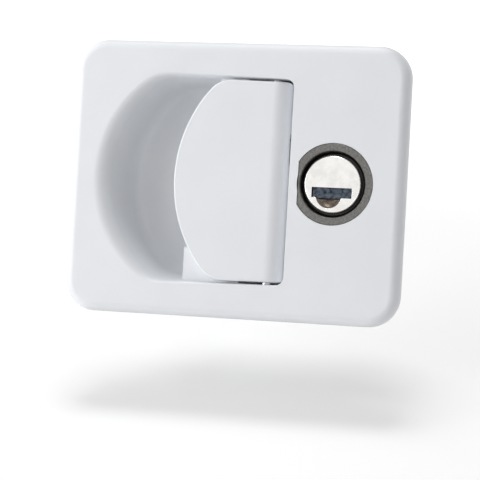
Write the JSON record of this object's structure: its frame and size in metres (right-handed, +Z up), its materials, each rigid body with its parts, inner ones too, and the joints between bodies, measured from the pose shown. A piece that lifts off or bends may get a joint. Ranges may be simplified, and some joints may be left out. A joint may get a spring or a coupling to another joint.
{
  "type": "recessed latch",
  "caption": "Flush recessed pull latch: rectangular faceplate with a finger recess, hinged pull paddle, round key lock and sliding slam bolt behind.",
  "frame": {"origin": "centre of the faceplate, on the plane where its gasket seats on the door skin", "axes": "+Z up, +X to the right as seen from the front, front face looks towards -Y, mechanism lies towards +Y"},
  "size_m": [0.092, 0.0281, 0.074],
  "materials": {
    "white_moulding": "cool white, satin with a very fine moulded grain",
    "gasket_rubber": "matt black",
    "spring_steel": "drawn wire",
    "pin_steel": "ground",
    "bolt_nylon": "black, lightly worn on the nose",
    "cover_plastic": "plain moulded white",
    "zinc_steel": "bright zinc plate with a faint spangle",
    "screw_steel": "bright zinc plate",
    "barrel_metal": "grey die-cast, satin",
    "plug_brass": "plated, dull",
    "cap_steel": "polished, with fine turning marks",
    "shutter_steel": "dark, blotchy",
    "wafer_brass": "stamped",
    "cam_steel": "stamped, zinc plated"
  },
  "bodies": {
    "case": {"housing": "white_moulding", "gasket": "gasket_rubber", "hinge_pin": "pin_steel", "bolt_spring": "spring_steel", "rear_cover": "cover_plastic", "cover_screws": "screw_steel", "clamp_plate": "zinc_steel", "clamp_screws": "screw_steel", "lock_barrel": "barrel_metal", "barrel_clip": "spring_steel"},
    "paddle": {"paddle": "white_moulding", "paddle_spring": "spring_steel"},
    "bolt": {"latch_bolt": "bolt_nylon"},
    "plug": {"lock_plug": "plug_brass", "plug_cap": "cap_steel", "shutter_pin": "pin_steel", "lock_cam": "cam_steel", "cam_washer": "screw_steel", "cam_screw": "screw_steel"},
    "shutter": {"key_shutter": "shutter_steel"},
    "wafers_left": {"wafers_left": "wafer_brass"},
    "wafers_right": {"wafers_right": "wafer_brass"}
  },
  "joints": [
    {"name": "paddle_hinge", "type": "hinge", "parent": "case", "child": "paddle", "pos_m": [0.0096, 0.0001, 0], "axis": [0, 0, 1], "range_deg": [0, 27], "stiffness_Nm_per_rad": 0.06, "springref_deg": -17.19, "deforming": ["paddle_spring"]},
    {"name": "bolt_slide", "type": "slide", "parent": "case", "child": "bolt", "axis": [1, 0, 0], "range_m": [-0.0078, 0], "deforming": ["bolt_spring"]},
    {"name": "plug_turn", "type": "hinge", "parent": "case", "child": "plug", "pos_m": [0.02684, 0, 0], "axis": [0, 1, 0], "range_deg": [-90, 0]},
    {"name": "shutter_flap", "type": "hinge", "parent": "plug", "child": "shutter", "pos_m": [0.02684, -0.00365, -0.0007], "axis": [1, 0, 0], "range_deg": [0, 75], "stiffness_Nm_per_rad": 0.0001, "springref_deg": -34.38},
    {"name": "wafers_left_slide", "type": "slide", "parent": "plug", "child": "wafers_left", "axis": [-1, 0, 0], "range_m": [0, 0.0006]},
    {"name": "wafers_right_slide", "type": "slide", "parent": "plug", "child": "wafers_right", "axis": [1, 0, 0], "range_m": [0, 0.0006]}
  ],
  "couplings": [
    {"joint": "bolt_slide", "follows": "paddle_hinge", "m_per_rad": -0.0165}
  ]
}
